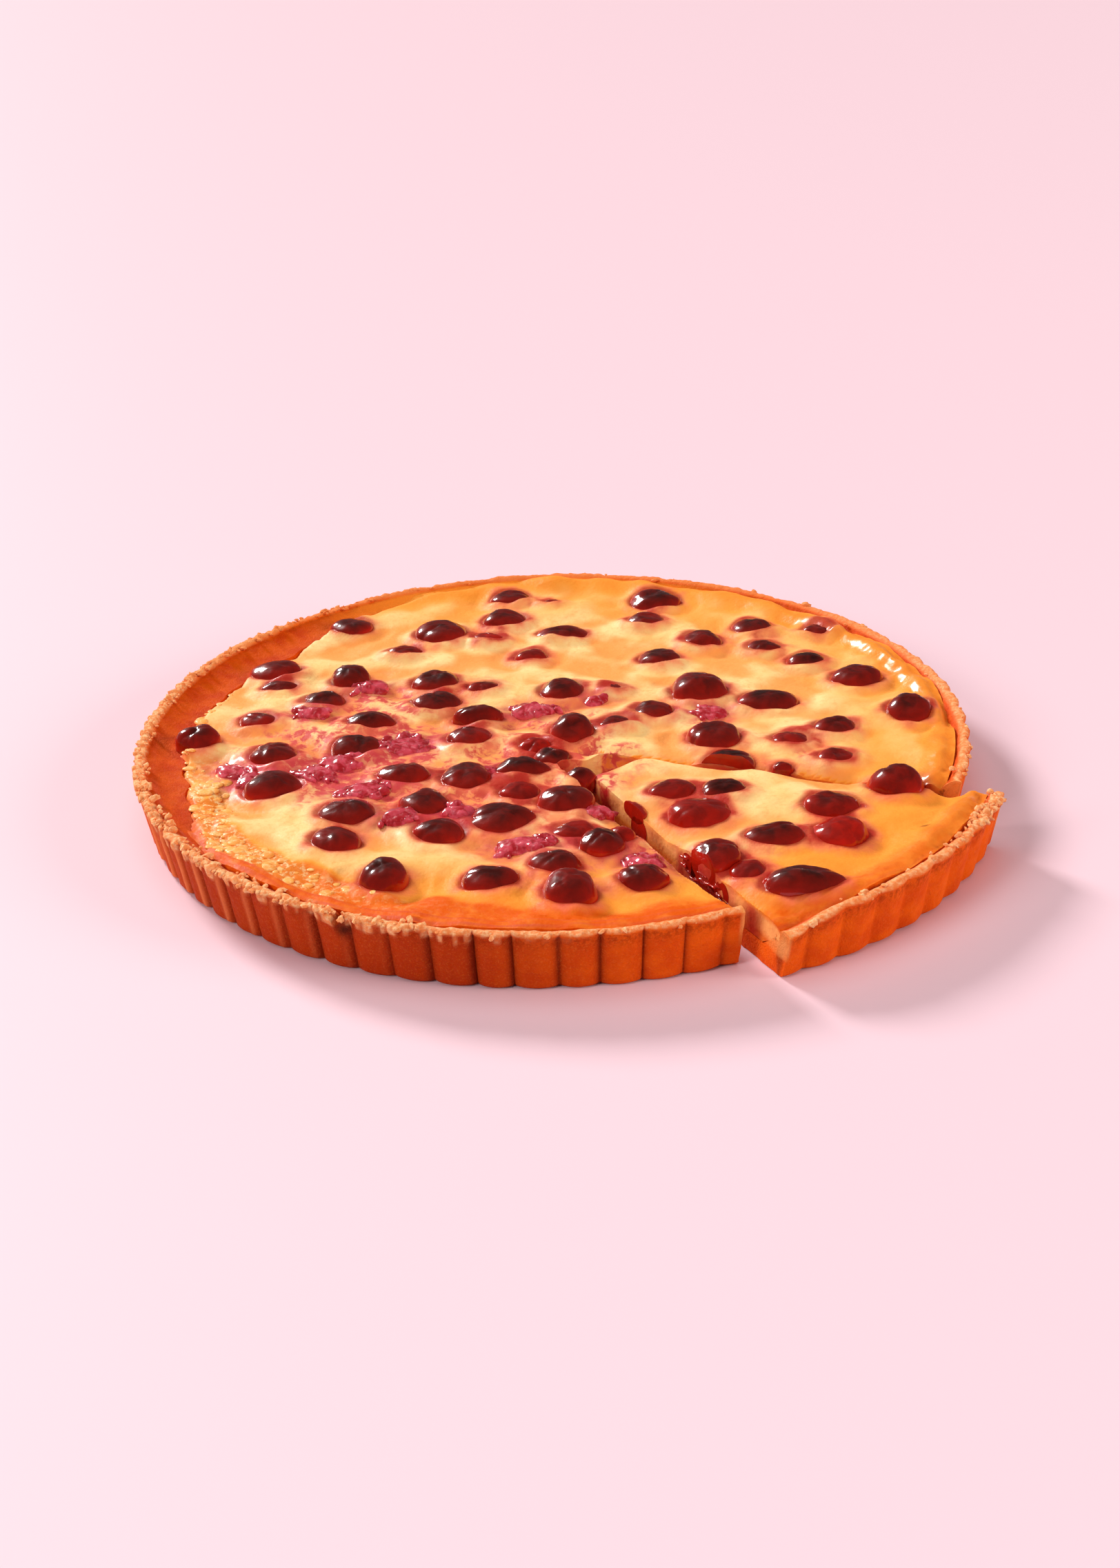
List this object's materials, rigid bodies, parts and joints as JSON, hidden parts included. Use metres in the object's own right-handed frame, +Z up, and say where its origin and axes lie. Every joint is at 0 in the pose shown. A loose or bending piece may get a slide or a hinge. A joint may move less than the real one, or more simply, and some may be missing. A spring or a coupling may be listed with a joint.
{
  "type": "cherry pie",
  "caption": "Round baked cherry custard tart in a fluted pastry crust, with cooked cherries sunk in the filling and one slice cut and drawn a little way out.",
  "frame": {"origin": "centre of the whole uncut tart on its underside", "axes": "+Z up out of the filling; -Y toward the side the slice is cut from, with the slice between -Y and +X"},
  "size_m": [0.2796, 0.2796, 0.0247],
  "materials": {
    "crust": "baked shortcrust pastry, dry and crumbly, browned on its edge",
    "custard": "baked custard, soft and slightly moist, browned toward the rim",
    "cherry": "cooked dark cherry, wet and glossy"
  },
  "bodies": {
    "root": {"pie_crust": "crust", "pie_custard": "custard", "slice_crust": "crust", "slice_custard": "custard", "cherry_01": "cherry", "cherry_02": "cherry", "cherry_03": "cherry", "cherry_04": "cherry", "cherry_05": "cherry", "cherry_06": "cherry", "cherry_07": "cherry", "cherry_08": "cherry", "cherry_09": "cherry", "cherry_10": "cherry", "cherry_11": "cherry", "cherry_12": "cherry", "cherry_13": "cherry", "cherry_14": "cherry", "cherry_15": "cherry", "cherry_16": "cherry", "cherry_17": "cherry", "cherry_18": "cherry", "cherry_19": "cherry", "cherry_20": "cherry", "cherry_21": "cherry", "cherry_22": "cherry", "cherry_23": "cherry", "cherry_24": "cherry", "cherry_25": "cherry", "cherry_26": "cherry", "cherry_27": "cherry", "cherry_28": "cherry", "cherry_29": "cherry", "cherry_30": "cherry", "cherry_31": "cherry", "cherry_32": "cherry", "cherry_33": "cherry", "cherry_34": "cherry", "cherry_35": "cherry", "cherry_36": "cherry", "cherry_37": "cherry", "cherry_38": "cherry", "cherry_39": "cherry", "cherry_40": "cherry", "cherry_41": "cherry", "cherry_42": "cherry", "cherry_43": "cherry", "cherry_44": "cherry", "cherry_45": "cherry", "cherry_46": "cherry", "cherry_47": "cherry", "cherry_48": "cherry", "cherry_49": "cherry", "cherry_50": "cherry", "cherry_51": "cherry", "cherry_52": "cherry", "cherry_53": "cherry", "cherry_54": "cherry", "cherry_55": "cherry", "cherry_56": "cherry"}
  },
  "joints": []
}
